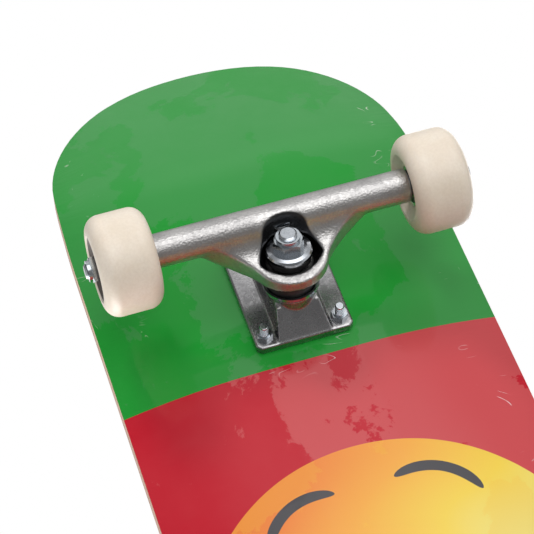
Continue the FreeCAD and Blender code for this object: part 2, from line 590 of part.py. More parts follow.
# ---------------------------------------------------------------- kingpin stack
def build_kingpin_stack(end):
    here = truck_place(end).multiply(KINGPIN)
    pin = "kingpin_diameter / 2"
    head_top = "kingpin_head_start + kingpin_head_height"
    kingpin = turned(f"{end}_kingpin", [
        ("0", "kingpin_head_start"), ("kingpin_head_radius - kingpin_head_chamfer", "kingpin_head_start"),
        ("kingpin_head_radius", "kingpin_head_start + kingpin_head_chamfer"),
        ("kingpin_head_radius", head_top), (pin, head_top), (pin, "kingpin_end - kingpin_end_chamfer"),
        (f"{pin} - kingpin_end_chamfer", "kingpin_end"),
        ("0", "kingpin_end")])
    sub_part(kingpin, f"{end}_kingpin", here)

    hole = f"{pin} + fit_clearance"

    def cup_washer(name, level, radius, lip_up):
        """A dished washer whose rolled lip wraps the end of its bushing."""
        sign = "1" if lip_up else "-1"
        near = level if lip_up else f"{level} + cup_thickness"
        far = f"{near} + {sign} * cup_thickness"
        lip = f"{far} + {sign} * cup_lip"
        return turned(name, [
            (hole, near), (f"{radius} - cup_outer_bend", near),
            (f"{radius} - cup_outer_slope", f"{near} + {sign} * cup_slope_rise"),
            (radius, f"{near} + {sign} * cup_edge_rise"), (radius, lip),
            (f"{radius} - cup_lip_thickness", lip), (f"{radius} - cup_inner_bend", far), (hole, far)])

    sub_part(cup_washer(f"{end}_lower_cup_washer", LEVEL["lower_cup"], "lower_cup_radius", True),
             f"{end}_lower_cup_washer", here)
    sub_part(cup_washer(f"{end}_upper_cup_washer", LEVEL["upper_cup"], "upper_cup_radius", False),
             f"{end}_upper_cup_washer", here)

    def bushing(name, level, height, low_radius, high_radius):
        top = f"{level} + {height}"
        gap = "fit_clearance * 2"
        return turned(name, [
            (hole, f"{level} + {gap}"), (f"{low_radius} - bushing_corner", f"{level} + {gap}"),
            (low_radius, f"{level} + bushing_corner_rise"),
            (f"({low_radius} + {high_radius}) / 2 + bushing_bulge", f"{level} + {height} / 2"),
            (high_radius, f"{top} - bushing_corner_rise"),
            (f"{high_radius} - bushing_corner", f"{top} - {gap}"), (hole, f"{top} - {gap}")])

    lower = bushing(f"{end}_lower_bushing", LEVEL["lower_bushing"], "lower_bushing_height",
                    "lower_bushing_radius", "lower_bushing_radius - lower_bushing_taper")
    sub_part(lower, f"{end}_lower_bushing", here)
    upper = bushing(f"{end}_upper_bushing", LEVEL["upper_bushing"], "upper_bushing_height",
                    "upper_bushing_radius + upper_bushing_foot",
                    "upper_bushing_radius - upper_bushing_taper")
    sub_part(upper, f"{end}_upper_bushing", here)

    nut = hex_nut(f"{end}_kingpin_nut", "kingpin_nut_flats", "kingpin_nut_height", pin,
                  "kingpin_collar_radius")
    sub_part(nut, f"{end}_kingpin_nut",
             here.multiply(Placement(Vector(0, 0, size(LEVEL["nut"])), FLATS_ALONG_BOARD)))


# ---------------------------------------------------------------- hanger and axle
def draw_fixed(sketch, edges):
    """Puts worked-out edges in a sketch and holds each where it was drawn."""
    sketch.addGeometry(edges, False)
    for index in range(len(edges)):
        sketch.addConstraint(Sketcher.Constraint("Block", index))


def chain(corners):
    """Straight edges from each corner to the next."""
    return [Part.LineSegment(first, second) for first, second in zip(corners, corners[1:])]


def yoke_plan(sketch):
    """Seen along the axle's drop: the ring's arc flaring into the bar through two hollow arcs."""
    outer, edge, back = size("ring_outer_radius"), size("yoke_edge_x"), size("bar_offset_x")
    hollow = Vector(edge - size("yoke_fillet"), YOKE_REACH, 0)
    ring = Vector(RING_CENTRE.x + size("ring_shift"), 0, 0)
    touch = ring + (hollow - ring).normalize() * outer
    turn = math.atan2(touch.y - hollow.y, touch.x - hollow.x) / 2
    middle = hollow + Vector(math.cos(turn), math.sin(turn), 0) * size("yoke_fillet")

    def other(point):
        return Vector(point.x, -point.y, 0)

    wing = Vector(edge, YOKE_REACH, 0)
    back_corner = Vector(back, YOKE_REACH, 0)
    edges = [Part.Arc(touch, Vector(ring.x - outer, 0, 0), other(touch)),
             Part.Arc(other(touch), other(middle), other(wing))]
    edges += chain([other(wing), other(back_corner), back_corner, wing])
    edges.append(Part.Arc(wing, middle, touch))
    draw_fixed(sketch, edges)


def yoke_side(sketch):
    """Seen from the side: the ring's flat, coving up into the bar."""
    half_ring = size("ring_thickness / 2")
    low = RING_CENTRE.z - half_ring - size("yoke_lap")
    lean = math.tan(math.radians(size("kingpin_lean")))
    front = RING_CENTRE.x + size("ring_shift - ring_outer_radius - yoke_front_margin")
    bar = Vector(size("bar_offset_x"), size("axle_drop + bar_offset_z"), 0)
    rim = RING_CENTRE.z + half_ring + size("bowl_depth")
    radius = size("cove_radius")
    cove_z = rim + radius
    cove = Vector(bar.x - math.sqrt((radius + size("bar_radius")) ** 2 - (cove_z - bar.y) ** 2), cove_z, 0)
    meet = cove + (bar - cove).normalize() * radius
    half_turn = (math.atan2(meet.y - cove.y, meet.x - cove.x) - math.pi / 2) / 2
    middle = cove + Vector(math.cos(half_turn), math.sin(half_turn), 0) * radius
    front_low = Vector(front, low - (front - RING_CENTRE.x) * lean, 0)
    back_low = Vector(bar.x, low - (bar.x - RING_CENTRE.x) * lean, 0)
    start = Vector(cove.x, rim, 0)
    front_high = Vector(front, rim - size("rim_drop"), 0)
    draw_fixed(sketch, chain([front_low, back_low, bar, meet]) + [Part.Arc(meet, middle, start)]
               + chain([start, front_high, front_low]))


def yoke_front(sketch):
    """Seen along the board: the wings' underside sweeps up from the ring to the bar's own surface."""
    bar_x, bar_z, radius = size("bar_offset_x"), size("axle_drop + bar_offset_z"), size("bar_radius")
    flat = size("yoke_flat_half")
    low = RING_CENTRE.z - size("ring_thickness + yoke_lap") - radius
    foot = RING_CENTRE.z - size("ring_thickness")
    tip = bar_z - math.sqrt(radius ** 2 - (size("yoke_edge_x") - bar_x) ** 2)
    run, rise = YOKE_REACH - flat, tip - foot
    sweep = (run ** 2 + rise ** 2) / (2 * rise)
    half = math.asin(run / sweep) / 2
    middle = Vector(flat + sweep * math.sin(half), foot + sweep * (1 - math.cos(half)), 0)
    top = bar_z + radius

    def other(point):
        return Vector(-point.x, point.y, 0)

    start, end = Vector(flat, foot, 0), Vector(YOKE_REACH, tip, 0)
    corner, deep = Vector(YOKE_REACH, top, 0), Vector(flat, low, 0)
    draw_fixed(sketch, [Part.Arc(start, middle, end)] + chain([end, corner, other(corner), other(end)])
               + [Part.Arc(other(end), other(middle), other(start))]
               + chain([other(start), other(deep), deep, start]))


def web_side(sketch):
    """Seen from the side: the web that ties the ring, the pivot arm and the bar together."""
    tip = PIVOT_PLACE.multVec(Vector(0, 0, -size("pivot_boss_mouth + web_tip_gap")))
    bar_x, bar_z = size("bar_offset_x"), size("axle_drop + bar_offset_z - web_bar_drop")
    corners = [
        Vector(RING_CENTRE.x + size("web_root_run"), RING_CENTRE.z - size("web_root_drop"), 0),
        Vector(tip.x - size("web_tip_back"), tip.z - size("web_tip_drop"), 0),
        Vector(tip.x + size("web_tip_front"), tip.z + size("web_tip_rise"), 0),
        Vector(bar_x + size("web_bar_front"), bar_z, 0), Vector(bar_x - size("web_bar_back"), bar_z, 0)]
    draw_fixed(sketch, chain(corners + corners[:1]))


def on_kingpin(thing, level, shift=0.0):
    thing.Placement = KINGPIN.multiply(Placement(Vector(shift, 0, level), Rotation()))
    return thing


def hanger_cutters(name):
    """What the kingpin stack, its nut and the axle need clear in the hanger."""
    # the dished bowl round the nut, walled off from the axle by a drafted face
    floor_level, shift = size(LEVEL["upper_bushing"]), size("bowl_shift")
    dish = cone(name + "_dish", "bowl_floor_radius", "bowl_radius", "bowl_depth")
    on_kingpin(dish, floor_level, shift)
    mouth = cylinder(name + "_mouth", "bowl_radius", "bowl_radius * 2")
    on_kingpin(mouth, floor_level + size("bowl_depth"), shift)
    wall_top = "(axle_drop + bar_radius)"
    wall = cone(name + "_wall", f"bowl_wall_radius - {wall_top} * bowl_wall_slope",
                f"bowl_wall_radius + {wall_top} * bowl_wall_slope", f"{wall_top} * 2")
    wall.Placement = Placement(Vector(size("bowl_wall_x - bowl_wall_radius"), 0, 0), Rotation())
    bowl = common(name + "_pocket", fused(name + "_bowl", [dish, mouth]), wall)
    rooms = []
    for step in STEER_STEPS:
        room = cylinder(f"{name}_washer_room_{len(rooms)}", "upper_cup_radius + washer_room",
                        "upper_bushing_height + cup_thickness + washer_headroom")
        on_kingpin(room, floor_level)
        swing = Rotation(STEER_AXIS, step * size("steer_limit"))
        room.Placement = Placement(Vector(), swing, RING_CENTRE).multiply(room.Placement)
        rooms.append(room)
    kingpin_hole = on_kingpin(cylinder(name + "_kingpin_hole", "ring_hole_radius", "kingpin_mid * 3"),
                              -size("kingpin_mid"))
    below_ring = cylinder(name + "_below_ring", "lower_cup_radius + lower_cup_room", "kingpin_mid")
    on_kingpin(below_ring, size(LEVEL["ring"] + " - kingpin_mid"))
    axle_hole = cylinder(name + "_axle_hole", "axle_diameter / 2", "hanger_width * 2")
    axle_hole.Placement = Placement(Vector(0, size("hanger_width"), size("axle_drop")), Rotation(X_AXIS, 90))
    return [fused(name + "_bores", [bowl, kingpin_hole, below_ring, axle_hole])] + rooms


def build_hanger(end):
    name = f"{end}_hanger"
    plan = padded(name + "_plan", "XY_Plane", yoke_plan, "axle_drop * 2")
    side = padded(name + "_side", "XZ_Plane", yoke_side, "hanger_width", midplane=True)
    front = padded(name + "_front", "YZ_Plane", yoke_front, "hanger_width", midplane=True)
    yoke = common(name + "_yoke", common(name + "_blank", plan, side), front)
    bar = cylinder(name + "_bar", "bar_radius", "hanger_width")
    bar.Placement = Placement(
        Vector(size("bar_offset_x"), size("hanger_width / 2"), size("axle_drop + bar_offset_z")),
        Rotation(X_AXIS, 90))
    arm_length = (PIVOT - RING_CENTRE).Length - size("ring_outer_radius - arm_lap")
    arm = cone(name + "_arm", "arm_root_radius", "arm_tip_radius", str(arm_length))
    arm.Placement = PIVOT_PLACE.multiply(Placement(
        Vector(0, 0, -arm_length - size("pivot_boss_mouth + arm_gap")), Rotation()))
    tip, deep = "pivot_nose_radius", "cup_inside_depth - pivot_clearance"
    nose = turned(name + "_nose", [
        ("0", "0 - pivot_nose_length"), (tip, "0 - pivot_nose_length"),
        (tip, "cup_inside_depth - tip_shoulder"),
        (f"{tip} * tip_bend_share", f"{deep} - tip_bend"), (f"{tip} * tip_end_share", f"{deep} - tip_end"),
        ("0", deep)])
    nose.Placement = PIVOT_PLACE
    web = padded(name + "_web", "XZ_Plane", web_side, "web_half_width * 2", midplane=True)
    solid = fused(name + "_solid", [yoke, bar, arm, nose, web])
    for number, cutter in enumerate(hanger_cutters(name)):
        solid = cut(f"{name}_cut_{number}", solid, cutter)
    sub_part(solid, name, truck_place(end))


def build_axle(end):
    here = truck_place(end)
    radius = "axle_diameter / 2"
    axle = turned(f"{end}_axle", [
        ("0", f"0 - ({AXLE_HALF})"), (f"{radius} - 0.7", f"0 - ({AXLE_HALF})"),
        (radius, f"0 - ({AXLE_HALF}) + 0.7"), (radius, f"{AXLE_HALF} - 0.7"),
        (f"{radius} - 0.7", AXLE_HALF), ("0", AXLE_HALF)])
    sub_part(axle, f"{end}_axle", here.multiply(Placement(
        Vector(0, 0, size("axle_drop")), Rotation(X_AXIS, 90))))
    nuts, washers, races, spacers = [], [], [], []
    race_low, race_high = "0 - bearing_width / 2", "bearing_width / 2"
    groove = "ball_pitch_diameter / 2 - ball_diameter / 2 - ball_clearance"
    bore = "bearing_bore / 2"
    for side, word in ((1, "left"), (-1, "right")):
        name = f"{end}_{word}"
        nut = hex_nut(name + "_axle_nut", "axle_nut_flats", "axle_nut_height", radius,
                      "axle_nut_flats * 0.44")
        nut.Placement = axle_place(side, f"{BEARING_MID} + bearing_gap / 2 + bearing_width + "
                                         "speed_washer_thickness")
        nuts.append(nut)
        for place_name, distance in (
                ("inner", "hanger_width / 2"),
                ("outer", f"{BEARING_MID} + bearing_gap / 2 + bearing_width")):
            washer = turned(f"{name}_{place_name}_washer", [
                (bore, "0"), ("speed_washer_radius", "0"), ("speed_washer_radius", "speed_washer_thickness"),
                (bore, "speed_washer_thickness")])
            washer.Placement = axle_place(side, distance)
            washers.append(washer)
        for offset in ("0 - bearing_gap / 2 - bearing_width / 2", "bearing_gap / 2 + bearing_width / 2"):
            race = turned(f"{name}_inner_race_{len(races)}", [
                (bore, race_low), ("inner_shoulder - 0.3", race_low),
                ("inner_shoulder", f"{race_low} + 0.3"), ("inner_shoulder", "0 - ball_diameter * 0.42"),
                (groove, "0 - ball_diameter * 0.16"), (groove, "ball_diameter * 0.16"),
                ("inner_shoulder", "ball_diameter * 0.42"), ("inner_shoulder", f"{race_high} - 0.3"),
                ("inner_shoulder - 0.3", race_high), (bore, race_high)])
            race.Placement = axle_place(side, f"{BEARING_MID} + ({offset})")
            races.append(race)
        spacer = turned(name + "_spacer", [
            (bore, "0 - bearing_gap / 2"), (f"{bore} + spacer_wall", "0 - bearing_gap / 2"),
            (f"{bore} + spacer_wall", "bearing_gap / 2"), (bore, "bearing_gap / 2")])
        spacer.Placement = axle_place(side, BEARING_MID)
        spacers.append(spacer)
    for word, pieces in (("axle_nuts", nuts), ("speed_washers", washers),
                         ("bearing_inner_races", races), ("bearing_spacers", spacers)):
        sub_part(group(f"{end}_{word}", pieces), f"{end}_{word}", here)


# ---------------------------------------------------------------- wheels
def build_wheel(end, side, word):
    name = f"{end}_{word}"
    bench_side = -side if end == "nose" else side
    here = truck_place(end).multiply(axle_place(bench_side, BEARING_MID))
    tread, half = "wheel_diameter / 2", "wheel_width / 2"
    seat = "bearing_outer_diameter / 2"
    seat_end = "bearing_gap / 2 + bearing_width"
    body = doc.addObject("PartDesign::Body", name + "_wheel")
    sketch = new_sketch(body, "XZ_Plane", name + "_wheel_profile")
    shoulder = "wheel_shoulder"
    flat_edge = size(f"{tread} - {shoulder}")
    rim, width, round_over = size(tread), size(half), size(shoulder)
    corners = [
        (seat, f"0 - ({seat_end})"), ("wheel_seat_lip", f"0 - ({seat_end})"),
        ("wheel_lip_radius", f"0 - {half}"), (f"{tread} - {shoulder}", f"0 - {half}")]
    inner = [
        (f"{tread} - {shoulder}", half), ("wheel_lip_radius", half), ("wheel_seat_lip", seat_end),
        (seat, seat_end), (seat, "bearing_gap / 2"), ("core_bore_radius", "bearing_gap / 2"),
        ("core_bore_radius", "0 - bearing_gap / 2"), (seat, "0 - bearing_gap / 2")]

    def at(pair):
        return Vector(size(pair[0]), size(pair[1]), 0)

    section = inner + corners
    for first, second in zip(section, section[1:]):
        sketch.addGeometry(Part.LineSegment(at(first), at(second)), False)
    count = len(section) - 1
    diagonal = round_over * math.sqrt(0.5)
    low = Part.Arc(Vector(flat_edge, -width, 0),
                   Vector(flat_edge + diagonal, -width + round_over - diagonal, 0),
                   Vector(rim, -width + round_over, 0))
    high = Part.Arc(Vector(rim, width - round_over, 0),
                    Vector(flat_edge + diagonal, width - round_over + diagonal, 0),
                    Vector(flat_edge, width, 0))
    tread_line = Part.LineSegment(Vector(rim, -width + round_over, 0), Vector(rim, width - round_over, 0))
    sketch.addGeometry([low, tread_line, high], False)
    for index in range(count - 1):
        sketch.addConstraint(Sketcher.Constraint("Coincident", index, 2, index + 1, 1))
    for index, pair in enumerate(section[:-1]):
        pin_point(sketch, index, 1, *pair)
    pin_point(sketch, count - 1, 2, *section[-1])
    sketch.addConstraint(Sketcher.Constraint("Coincident", count - 1, 2, count, 1))
    sketch.addConstraint(Sketcher.Constraint("Tangent", count, 2, count + 1, 1))
    sketch.addConstraint(Sketcher.Constraint("Tangent", count + 1, 2, count + 2, 1))
    sketch.addConstraint(Sketcher.Constraint("Coincident", count + 2, 2, 0, 1))
    pin_point(sketch, count + 1, 1, tread, f"{shoulder} - {half}")
    pin_point(sketch, count + 1, 2, tread, f"{half} - {shoulder}")
    turn = body.newObject("PartDesign::Revolution", name + "_wheel_turn")
    turn.Profile = sketch
    turn.ReferenceAxis = (sketch, ["V_Axis"])
    turn.Angle = 360
    body.Tip = turn
    sub_part(body, f"{name}_wheel", here)

    races, shields, balls, cages = [], [], [], []
    groove = "ball_pitch_diameter / 2 + ball_diameter / 2 + ball_clearance"
    low_face, high_face = "0 - bearing_width / 2", "bearing_width / 2"
    for number, offset in enumerate(("0 - bearing_gap / 2 - bearing_width / 2",
                                     "bearing_gap / 2 + bearing_width / 2")):
        shift = Placement(Vector(0, 0, size(offset)), Rotation())
        race = turned(f"{name}_outer_race_{number}", [
            ("outer_shoulder", low_face), ("bearing_outer_diameter / 2 - race_corner", low_face),
            ("bearing_outer_diameter / 2", f"{low_face} + race_corner"),
            ("bearing_outer_diameter / 2", f"{high_face} - race_corner"),
            ("bearing_outer_diameter / 2 - race_corner", high_face), ("outer_shoulder", high_face),
            ("outer_shoulder", "groove_mouth"), (groove, "groove_half"),
            (groove, "0 - groove_half"), ("outer_shoulder", "0 - groove_mouth")])
        race.Placement = shift
        races.append(race)
        for face in ("-1", "1"):
            near = f"{face} * (bearing_width / 2 - shield_inset)"
            far = f"{face} * (bearing_width / 2 - shield_inset - shield_thickness)"
            shield = turned(f"{name}_shield_{len(shields)}", [
                ("inner_shoulder + shield_gap", near), ("outer_shoulder", near), ("outer_shoulder", far),
                ("inner_shoulder + shield_gap", far)])
            shield.Placement = shift
            shields.append(shield)
        mean = "ball_pitch_diameter / 2"
        back = "ball_diameter / 2 + cage_pocket_clearance + cage_back"
        ring = turned(f"{name}_cage_ring_{number}", [
            (f"{mean} - cage_thickness / 2", "0 - cage_wrap"),
            (f"{mean} + cage_thickness / 2", "0 - cage_wrap"),
            (f"{mean} + cage_thickness / 2", back), (f"{mean} - cage_thickness / 2", back)])
        pockets = []
        for index in range(int(size("ball_count"))):
            angle = 2 * math.pi * index / size("ball_count")
            spot = Vector(size(mean) * math.cos(angle), size(mean) * math.sin(angle), 0)
            ball = doc.addObject("Part::Sphere", f"{name}_ball_{number}_{index}")
            ball.setExpression("Radius", bound("ball_diameter / 2"))
            ball.Placement = shift.multiply(Placement(spot, Rotation()))
            balls.append(ball)
            pocket = doc.addObject("Part::Sphere", f"{name}_ball_pocket_{number}_{index}")
            pocket.setExpression("Radius", bound("ball_diameter / 2 + cage_pocket_clearance"))
            pocket.Placement = Placement(spot, Rotation())
            pockets.append(pocket)
        cage = cut(f"{name}_cage_{number}", ring, group(f"{name}_ball_pockets_{number}", pockets))
        cage.Placement = shift
        cages.append(cage)
    for label, pieces in (("bearing_outer_races", races), ("bearing_shields", shields),
                          ("bearing_balls", balls), ("ball_cages", cages)):
        sub_part(group(f"{name}_{label}", pieces), f"{name}_{label}", here)


# ---------------------------------------------------------------- assembly
build_deck()
for end in ("nose", "tail"):
    build_fasteners(end)
    build_baseplate(end)
    build_pivot_cup(end)
    build_kingpin_stack(end)
    build_hanger(end)
    build_axle(end)
    for side, word in ((1, "left"), (-1, "right")):
        build_wheel(end, side, word)
doc.recompute()

for thing in doc.Objects:
    if "Invalid" in thing.State or "Error" in thing.State:
        raise RuntimeError(f"{thing.Name} ({thing.Label}) did not build: {thing.State}")
for thing in sub_parts:
    if thing.Shape.isNull() or not thing.Shape.isValid():
        raise RuntimeError(f"{thing.Label} has no valid shape")
    thing.Shape.exportStep(f"parts/{thing.Label}.step")
    bounds = thing.Shape.BoundBox
    print(f"{thing.Label:32s} solids {len(thing.Shape.Solids):2d} volume {thing.Shape.Volume:10.1f} "
          f"x {bounds.XMin:7.1f} {bounds.XMax:7.1f} y {bounds.YMin:7.1f} {bounds.YMax:7.1f} "
          f"z {bounds.ZMin:6.1f} {bounds.ZMax:6.1f}")
toward_nose = truck_place("nose")
print("nose steering pivot", toward_nose.multVec(PIVOT), "ring centre", toward_nose.multVec(RING_CENTRE))
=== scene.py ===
import math

import bpy
from mathutils import Matrix, Vector


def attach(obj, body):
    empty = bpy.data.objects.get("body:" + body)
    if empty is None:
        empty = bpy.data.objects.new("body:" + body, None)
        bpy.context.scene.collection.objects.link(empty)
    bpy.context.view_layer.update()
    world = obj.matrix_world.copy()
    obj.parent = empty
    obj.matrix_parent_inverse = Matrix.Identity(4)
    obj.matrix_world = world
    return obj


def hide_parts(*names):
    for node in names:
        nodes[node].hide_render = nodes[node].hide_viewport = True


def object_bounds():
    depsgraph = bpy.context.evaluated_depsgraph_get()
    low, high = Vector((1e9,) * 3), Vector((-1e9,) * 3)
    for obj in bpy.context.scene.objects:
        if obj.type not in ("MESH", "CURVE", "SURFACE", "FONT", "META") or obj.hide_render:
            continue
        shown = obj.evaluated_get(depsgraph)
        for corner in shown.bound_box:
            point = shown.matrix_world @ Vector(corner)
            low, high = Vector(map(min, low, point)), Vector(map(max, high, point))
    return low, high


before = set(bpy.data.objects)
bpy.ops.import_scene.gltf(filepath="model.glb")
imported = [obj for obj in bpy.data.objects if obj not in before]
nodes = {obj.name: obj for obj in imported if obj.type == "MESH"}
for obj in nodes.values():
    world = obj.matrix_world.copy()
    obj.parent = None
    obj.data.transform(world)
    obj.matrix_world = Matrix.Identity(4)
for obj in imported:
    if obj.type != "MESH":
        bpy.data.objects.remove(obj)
cad_low, cad_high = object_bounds()

MM = 0.001

# ---------------------------------------------------------------- small helpers for node trees


def put(tree, socket, value):
    """Joins an output to a socket, or sets a plain value on it."""
    if isinstance(value, bpy.types.NodeSocket):
        tree.links.new(value, socket)
    else:
        socket.default_value = value


def calc(tree, operation, first, second=0.0, third=0.0):
    node = tree.nodes.new("ShaderNodeMath")
    node.operation = operation
    for socket, value in zip(node.inputs, (first, second, third)):
        put(tree, socket, value)
    return node.outputs[0]


def product(tree, first, second):
    return calc(tree, "MULTIPLY", first, second)


def size_of(tree, value):
    return calc(tree, "ABSOLUTE", value)


def hypotenuse(tree, first, second):
    return calc(tree, "SQRT", calc(tree, "MULTIPLY_ADD", first, first, product(tree, second, second)))


def smooth_step(tree, value, low, high, to_low=0.0, to_high=1.0):
    node = tree.nodes.new("ShaderNodeMapRange")
    node.interpolation_type = "SMOOTHSTEP"
    put(tree, node.inputs["Value"], value)
    put(tree, node.inputs["From Min"], low)
    put(tree, node.inputs["From Max"], high)
    put(tree, node.inputs["To Min"], to_low)
    put(tree, node.inputs["To Max"], to_high)
    return node.outputs["Result"]


def blend_colours(tree, share, first, second):
    node = tree.nodes.new("ShaderNodeMix")
    node.data_type = "RGBA"
    put(tree, node.inputs["Factor"], share)
    put(tree, node.inputs[6], first)
    put(tree, node.inputs[7], second)
    return node.outputs[2]


def noise(tree, where, scale, detail=3.0, roughness=0.55, distortion=0.0):
    node = tree.nodes.new("ShaderNodeTexNoise")
    put(tree, node.inputs["Vector"], where)
    put(tree, node.inputs["Scale"], scale)
    put(tree, node.inputs["Detail"], detail)
    put(tree, node.inputs["Roughness"], roughness)
    put(tree, node.inputs["Distortion"], distortion)
    return node.outputs["Fac"]


def stretched(tree, where, scale):
    """The same place, with its axes stretched for a grain that runs one way."""
    node = tree.nodes.new("ShaderNodeMapping")
    put(tree, node.inputs["Vector"], where)
    node.inputs["Scale"].default_value = scale
    return node.outputs["Vector"]


def object_place(tree):
    return tree.nodes.new("ShaderNodeTexCoord").outputs["Object"]


def split(tree, vector):
    node = tree.nodes.new("ShaderNodeSeparateXYZ")
    put(tree, node.inputs[0], vector)
    return node.outputs


def bump(tree, height, depth, strength=1.0, under=None):
    node = tree.nodes.new("ShaderNodeBump")
    put(tree, node.inputs["Height"], height)
    node.inputs["Distance"].default_value = depth
    node.inputs["Strength"].default_value = strength
    if under is not None:
        put(tree, node.inputs["Normal"], under)
    return node.outputs["Normal"]


def new_group(name, numbers, results):
    """A shader node group with named numbers in, a place in, and named results out."""
    group = bpy.data.node_groups.new(name, "ShaderNodeTree")
    group.interface.new_socket("Place", in_out="INPUT", socket_type="NodeSocketVector")
    for label in numbers:
        group.interface.new_socket(label, in_out="INPUT", socket_type="NodeSocketFloat")
    for label in results:
        group.interface.new_socket(label, in_out="OUTPUT", socket_type="NodeSocketFloat")
    return group, group.nodes.new("NodeGroupInput"), group.nodes.new("NodeGroupOutput")


def patchy(tree, socket, where, scale, low, high):
    """Fills a socket with uneven patches of a value between low and high."""
    put(tree, socket, use_group(tree, uneven, where, "Value", Scale=scale, Low=low, High=high))


def use_group(tree, group, where, result, **numbers):
    node = tree.nodes.new("ShaderNodeGroup")
    node.node_tree = group
    put(tree, node.inputs["Place"], where)
    for label, value in numbers.items():
        put(tree, node.inputs[label.replace("_", " ")], value)
    return node.outputs[result]


# ---------------------------------------------------------------- shared effects


def make_uneven_group():
    """Patches of a value between Low and High, as handling and casting leave a surface."""
    group, given, made = new_group("Uneven Patches", ["Scale", "Low", "High"], ["Value"])
    patches = noise(group, given.outputs["Place"], given.outputs["Scale"], 4.0, 0.6)
    value = smooth_step(group, patches, 0.3, 0.7, given.outputs["Low"], given.outputs["High"])
    put(group, made.inputs["Value"], value)
    return group


def make_sand_group():
    """Fine cast or gritty grain: rounded grains of the size 1/Scale, with smaller ones between."""
    group, given, made = new_group("Sand Grain", ["Scale"], ["Height", "Grains"])
    cells = group.nodes.new("ShaderNodeTexVoronoi")
    put(group, cells.inputs["Vector"], given.outputs["Place"])
    put(group, cells.inputs["Scale"], given.outputs["Scale"])
    finer_scale = product(group, given.outputs["Scale"], 2.3)
    finer = noise(group, given.outputs["Place"], finer_scale, 3.0)
    height = calc(group, "MULTIPLY_ADD", finer, 0.6, cells.outputs["Distance"])
    put(group, made.inputs["Height"], height)
    put(group, made.inputs["Grains"], split(group, cells.outputs["Color"])[0])
    return group


def make_wear_group():
    """Where an edge is rubbed: outside corners within Radius, broken up by a pattern of Scale."""
    group, given, made = new_group("Edge Wear", ["Radius", "Scale"], ["Mask"])
    rounded = group.nodes.new("ShaderNodeBevel")
    rounded.samples = 4
    put(group, rounded.inputs["Radius"], given.outputs["Radius"])
    flat = group.nodes.new("ShaderNodeNewGeometry").outputs["Normal"]
    turn = group.nodes.new("ShaderNodeVectorMath")
    turn.operation = "DOT_PRODUCT"
    put(group, turn.inputs[0], rounded.outputs["Normal"])
    put(group, turn.inputs[1], flat)
    edge = smooth_step(group, calc(group, "SUBTRACT", 1.0, turn.outputs["Value"]), 0.02, 0.22)
    pattern = noise(group, given.outputs["Place"], given.outputs["Scale"], 4.0)
    broken = smooth_step(group, pattern, 0.38, 0.6)
    put(group, made.inputs["Mask"], product(group, edge, broken))
    return group


def make_thread_group():
    """Ridges of a screw thread: Pitch apart along the number in Along, beyond Start."""
    group, given, made = new_group("Thread Ridges", ["Along", "Pitch", "Start"], ["Height"])
    turns = calc(group, "DIVIDE", given.outputs["Along"], given.outputs["Pitch"])
    ridge = calc(group, "PINGPONG", turns, 0.5)
    beyond = calc(group, "GREATER_THAN", given.outputs["Along"], given.outputs["Start"])
    put(group, made.inputs["Height"], product(group, ridge, beyond))
    return group


uneven = make_uneven_group()
sand = make_sand_group()
wear = make_wear_group()
thread = make_thread_group()

# ---------------------------------------------------------------- materials


def new_material(name):
    material = bpy.data.materials.new(name)
    material.use_nodes = True
    tree = material.node_tree
    return material, tree, tree.nodes["Principled BSDF"].inputs


def rgb(red, green, blue):
    """A screen colour out of 255 as the shader's linear colour."""
    def linear(part):
        part /= 255
        return part / 12.92 if part <= 0.04045 else ((part + 0.055) / 1.055) ** 2.4
    return (linear(red), linear(green), linear(blue), 1.0)


STRIPE_EDGE = 163.4 * MM
DISC_RADIUS = 106.5 * MM
STROKES = 7
STROKE_OFFSET = 60.5 * MM
STROKE_RADIUS = 31 * MM
STROKE_HALF = 3.1 * MM
STROKE_REACH = 0.8
STROKE_SOFT = 0.35 * MM
PRINT_SOFT = 0.15 * MM

PRINTED_BAND = 128 * MM
PLATE_END = 166 * MM
PLATE_MIDDLE = 195 * MM


def distance_from_band(tree, x, band):
    """How far a place is, along the board, from a band that both ends have."""
    return size_of(tree, calc(tree, "SUBTRACT", size_of(tree, x), band))


def stroke_mask(tree, x, y, radius):
    """A ring of plain curved strokes, all alike, set evenly round the disc."""
    sector = 2 * math.pi / STROKES
    angle = calc(tree, "ADD", calc(tree, "ARCTAN2", y, x), 4 * math.pi)
    own_angle = calc(tree, "SUBTRACT", calc(tree, "MODULO", angle, sector), sector / 2)
    across = product(tree, radius, calc(tree, "SINE", own_angle))
    out = product(tree, radius, calc(tree, "COSINE", own_angle))
    out = calc(tree, "SUBTRACT", out, STROKE_OFFSET)
    reach = calc(tree, "ARCTAN2", across, out)
    from_centre = hypotenuse(tree, out, across)
    off_line = size_of(tree, calc(tree, "SUBTRACT", from_centre, STROKE_RADIUS))
    turned = size_of(tree, calc(tree, "DIVIDE", reach, STROKE_REACH))
    share = calc(tree, "POWER", turned, 4.0)
    half = calc(tree, "SQRT", calc(tree, "MAXIMUM", calc(tree, "SUBTRACT", 1.0, share), 0.0))
    half = product(tree, half, STROKE_HALF)
    return smooth_step(tree, calc(tree, "SUBTRACT", half, off_line), 0.0, STROKE_SOFT)


def film_cling(tree, place, x, y):
    """Where the film lies tight on the print: ragged patches with a hard outline."""
    ragged = noise(tree, place, 19, 9.0, 0.66, 0.35)
    broad = noise(tree, stretched(tree, place, (1.0, 1.25, 1.0)), 8.5, 2.0, 0.5, 0.3)
    level = calc(tree, "MULTIPLY_ADD", broad, 0.8, ragged)
    middle = distance_from_band(tree, x, PRINTED_BAND)
    level = calc(tree, "ADD", level, smooth_step(tree, middle, 0.0, 0.07, 0.09, 0.0))
    level = calc(tree, "ADD", level, smooth_step(tree, y, -0.09, 0.09, 0.04, -0.04))
    return smooth_step(tree, level, 0.965, 0.99)


